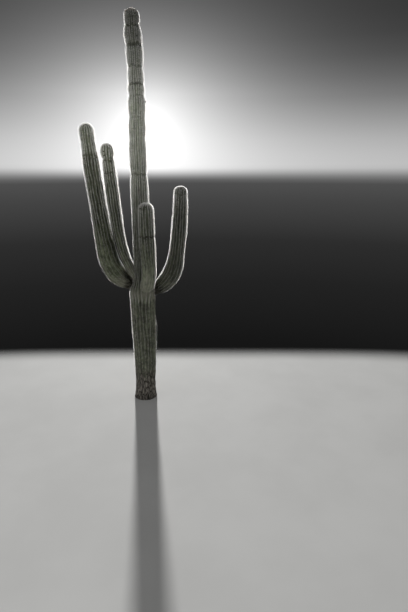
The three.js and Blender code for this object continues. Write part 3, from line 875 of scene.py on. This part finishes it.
def floor():
    """A pale sheet with rounded corners that fades out at its edge."""
    rings, around = 40, 160
    pts, faces = [(*FLOOR_MIDDLE, -0.001)], []
    for k in range(1, rings + 1):
        for j in range(around):
            t = TAU * j / around
            reach = k / rings / (math.cos(t) ** 4 + math.sin(t) ** 4) ** 0.25
            pts.append((FLOOR_MIDDLE[0] + FLOOR_HALF[0] * reach * math.cos(t), FLOOR_MIDDLE[1] + FLOOR_HALF[1] * reach * math.sin(t), -0.001))
    for j in range(around):
        faces.append((0, 1 + j, 1 + (j + 1) % around))
    for k in range(1, rings):
        a, b = 1 + (k - 1) * around, 1 + k * around
        for j in range(around):
            faces.append((a + j, b + j, b + (j + 1) % around, a + (j + 1) % around))
    mesh = bpy.data.meshes.new("floor")
    mesh.from_pydata(pts, [], faces)
    n = Nodes("floor_paper")
    n.put(n.bsdf.inputs["Base Color"], n.mix(n.step(n.noise(n.place(), 0.7, 3), 0.3, 0.7), (0.56, 0.56, 0.55), (0.6, 0.6, 0.59)))
    n.bsdf.inputs["Roughness"].default_value = 0.9
    move = n.new("ShaderNodeVectorMath", operation="ADD")
    n.put(move.inputs[0], n.place())
    move.inputs[1].default_value = (-FLOOR_MIDDLE[0], -FLOOR_MIDDLE[1], 0)
    flat = n.scaled(move.outputs[0], (1 / FLOOR_HALF[0], 1 / FLOOR_HALF[1], 0))
    for _ in range(2):
        square = n.new("ShaderNodeVectorMath", operation="MULTIPLY")
        n.put(square.inputs[0], flat)
        n.put(square.inputs[1], flat)
        flat = square.outputs[0]
    both = n.new("ShaderNodeVectorMath", operation="DOT_PRODUCT")
    n.put(both.inputs[0], flat)
    both.inputs[1].default_value = (1, 1, 0)
    far = n.sum(both.outputs["Value"], 0.25, "POWER")
    clear = n.new("ShaderNodeBsdfTransparent")
    blend = n.new("ShaderNodeMixShader")
    n.put(blend.inputs[0], n.step(far, 0.8, 0.98))
    n.put(blend.inputs[1], n.bsdf.outputs[0])
    n.put(blend.inputs[2], clear.outputs[0])
    out = next(x for x in n.tree.nodes if x.type == "OUTPUT_MATERIAL")
    n.put(out.inputs["Surface"], blend.outputs[0])
    mesh.materials.append(n.mat)
    ob = bpy.data.objects.new("floor", mesh)
    scene.collection.objects.link(ob)
    ob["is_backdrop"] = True


floor()

SUN_AZIMUTH, SUN_HEIGHT = math.radians(-7.5), math.radians(6.9)  # from straight behind, and above level
towards_sun = Vector((math.sin(SUN_AZIMUTH) * math.cos(SUN_HEIGHT), math.cos(SUN_AZIMUTH) * math.cos(SUN_HEIGHT), math.sin(SUN_HEIGHT)))


GLOW = Vector((-0.1216, 0.9885, 0.0897)).normalized()
ROOM = (0.06, 0.24)


def world():
    """A plain grey room, with a backdrop that is light at eye level and has a soft glow by the low lamp."""
    w = bpy.data.worlds.new("studio")
    scene.world = w
    w.use_nodes = True
    tree = w.node_tree

    def node(kind, **set_):
        n = tree.nodes.new(kind)
        for k, v in set_.items():
            setattr(n, k, v)
        return n

    def calc(operation, *values):
        n = node("ShaderNodeMath", operation=operation)
        for socket, value in zip(n.inputs, values):
            if isinstance(value, bpy.types.NodeSocket):
                tree.links.new(value, socket)
            else:
                socket.default_value = value
        return n.outputs[0]

    back = next(x for x in tree.nodes if x.type == "BACKGROUND")
    way = node("ShaderNodeTexCoord").outputs["Generated"]
    parts = node("ShaderNodeSeparateXYZ")
    tree.links.new(way, parts.inputs[0])
    ramp = node("ShaderNodeValToRGB")
    tree.links.new(calc("MULTIPLY_ADD", parts.outputs["Z"], 0.5, 0.5), ramp.inputs["Fac"])
    ramp.color_ramp.interpolation = "LINEAR"
    # sine of the height above level, brightness
    stops = [(-1, .006), (-.36, .008), (-.23, .016), (-.143, .026), (-.058, .058), (-.02, .08), (-.008, .2), (.01, .5),
             (.035, .47), (.064, .4), (.103, .27), (.139, .16), (.175, .095), (.208, .055), (.242, .035), (.272, .029), (.3, .028), (1, .028)]
    while len(ramp.color_ramp.elements) < len(stops):
        ramp.color_ramp.elements.new(0.5)
    for element, (at, value) in zip(ramp.color_ramp.elements, stops):
        element.position = at / 2 + 0.5
        element.color = (value, value, value, 1)
    dot = node("ShaderNodeVectorMath", operation="DOT_PRODUCT")
    tree.links.new(way, dot.inputs[0])
    dot.inputs[1].default_value = GLOW
    away = calc("ARCCOSINE", calc("MINIMUM", dot.outputs["Value"], 1.0))
    above = node("ShaderNodeMapRange", interpolation_type="SMOOTHSTEP")
    tree.links.new(parts.outputs["Z"], above.inputs["Value"])
    above.inputs["From Min"].default_value, above.inputs["From Max"].default_value = -0.018, 0.012
    higher = node("ShaderNodeMapRange")
    tree.links.new(parts.outputs["Z"], higher.inputs["Value"])
    higher.inputs["From Min"].default_value, higher.inputs["From Max"].default_value = 0.15, 0.3
    higher.inputs["To Min"].default_value, higher.inputs["To Max"].default_value = 1.0, 0.47
    glow = calc("MULTIPLY", calc("MULTIPLY", calc("EXPONENT", calc("MULTIPLY", away, -1 / 0.14)), 1.1),
                calc("MULTIPLY", above.outputs["Result"], higher.outputs["Result"]))
    backdrop = calc("ADD", ramp.outputs["Color"], glow)
    # the rest of the room is an even grey, darker towards the floor
    room = node("ShaderNodeMapRange", interpolation_type="SMOOTHSTEP")
    tree.links.new(parts.outputs["Z"], room.inputs["Value"])
    room.inputs["From Min"].default_value, room.inputs["From Max"].default_value = -0.4, 0.3
    room.inputs["To Min"].default_value, room.inputs["To Max"].default_value = ROOM
    behind = node("ShaderNodeMapRange", interpolation_type="SMOOTHSTEP")
    tree.links.new(parts.outputs["Y"], behind.inputs["Value"])
    behind.inputs["From Min"].default_value, behind.inputs["From Max"].default_value = 0.3, 0.8
    shade = calc("ADD", calc("MULTIPLY", room.outputs["Result"], calc("SUBTRACT", 1.0, behind.outputs["Result"])),
                 calc("MULTIPLY", backdrop, behind.outputs["Result"]))
    tree.links.new(shade, back.inputs["Strength"])
    back.inputs["Color"].default_value = (1, 1, 1, 1)


world()


def lamp(kind, name, energy, place=None, aim=None, size=1.0, size_y=None, colour=(1, 1, 1)):
    data = bpy.data.lights.new(name, kind)
    data.energy = energy
    data.color = colour
    ob = bpy.data.objects.new(name, data)
    scene.collection.objects.link(ob)
    if kind == "SUN":
        data.angle = math.radians(3.0)
        ob.rotation_euler = Vector(towards_sun).to_track_quat("Z", "Y").to_euler()
        return
    ob.location = place
    ob.rotation_euler = (Vector(place) - Vector(aim)).to_track_quat("Z", "Y").to_euler()
    ob.visible_camera = False
    if kind == "AREA":
        data.shape = "RECTANGLE"
        data.size, data.size_y = size, size_y or size
    else:
        data.spot_size, data.spot_blend = math.radians(size), 1.0
        data.shadow_soft_size = 1.2


lamp("SUN", "low_sun", 10.8, colour=(1.0, 0.995, 0.985))
lamp("SPOT", "rim_left", 4800, (-2.9, 9.0, 4.3), (0, 0, 5.2), 24)
lamp("SPOT", "rim_right", 5200, (2.9, 9.0, 4.3), (0.1, 0, 4.2), 31)
lamp("AREA", "soft_front", 82, (-5.5, -9.0, 6.5), (0, 0, 3.2), 6.0, 5.0)
lamp("SPOT", "soft_upper", 6800, (-1.5, -7.6, 5.6), (-0.22, 0, 5.2), 14)

camera_data = bpy.data.cameras.new("camera")
camera_data.sensor_fit = "AUTO"
camera_data.sensor_width = 36.0
camera_data.lens = 450 / 612 * 36
camera_data.clip_end = 200
camera = bpy.data.objects.new("camera", camera_data)
scene.collection.objects.link(camera)
camera.location = (1.20618822, -8.44091987, 4.44471076)
camera.rotation_euler = Euler((math.radians(90 - 16.582361), 0, 0))
scene.camera = camera
scene.view_settings.view_transform = "Standard"
